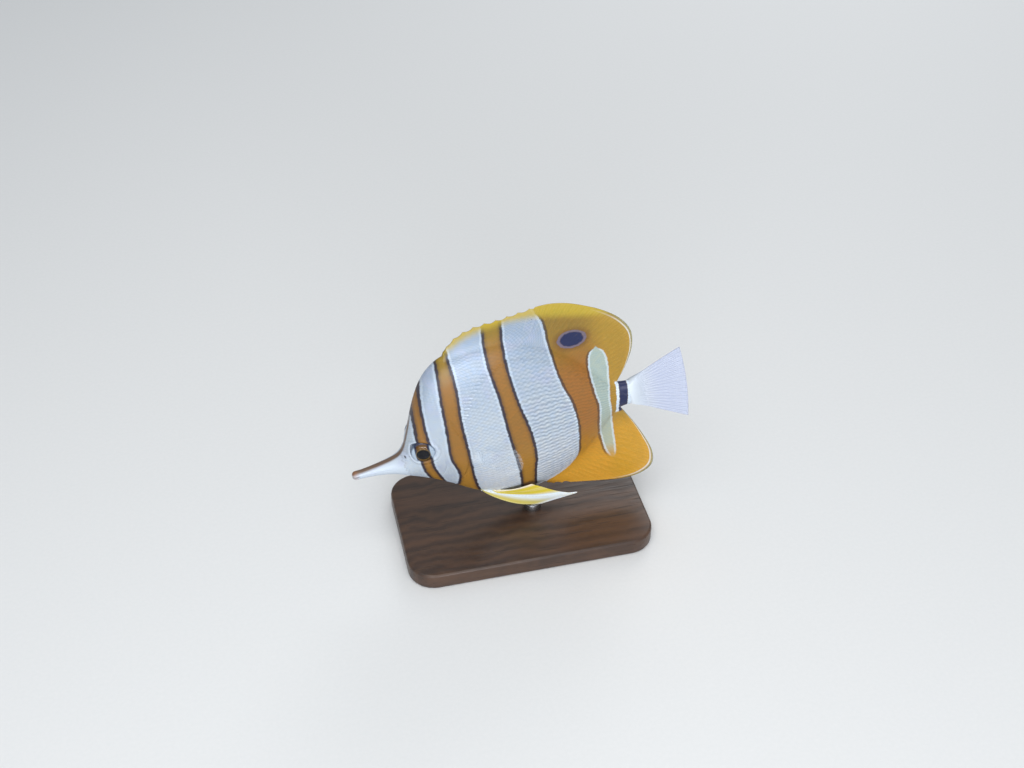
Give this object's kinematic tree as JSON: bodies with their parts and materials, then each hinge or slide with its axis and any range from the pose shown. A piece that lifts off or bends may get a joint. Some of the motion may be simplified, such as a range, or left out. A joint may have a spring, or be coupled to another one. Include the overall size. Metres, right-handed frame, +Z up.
{
  "type": "copperband butterflyfish model on a display stand",
  "caption": "Life-size still model of a banded long-snouted reef fish, held over a flat base by one short rod.",
  "frame": {"origin": "centre of the box that holds the whole part, at the height of the stand base's underside", "axes": "+Z up; the fish faces -X with its snout 10 degrees down; its left side faces -Y"},
  "size_m": [0.1498, 0.066, 0.1228],
  "materials": {
    "skin": "moist scaled skin, silvery white with copper-orange bands",
    "median_fins": "rayed membrane, yellow to orange",
    "clear_fins": "thin translucent membrane with pale rays",
    "eye": "glossy cornea over a dark pupil",
    "stand_wood": "dark oiled walnut",
    "stand_steel": "satin"
  },
  "bodies": {
    "root": {"snout": "skin", "head": "skin", "trunk": "skin", "tail_stem": "skin", "eye_left": "eye", "eye_right": "eye", "dorsal_fin_spines": "median_fins", "dorsal_fin_rays": "median_fins", "anal_fin": "median_fins", "caudal_fin": "clear_fins", "pectoral_fin_left": "clear_fins", "pectoral_fin_right": "clear_fins", "pelvic_fin_left": "median_fins", "pelvic_fin_right": "median_fins", "stand_base": "stand_wood", "stand_rod": "stand_steel", "stand_collar": "stand_steel"}
  },
  "joints": []
}
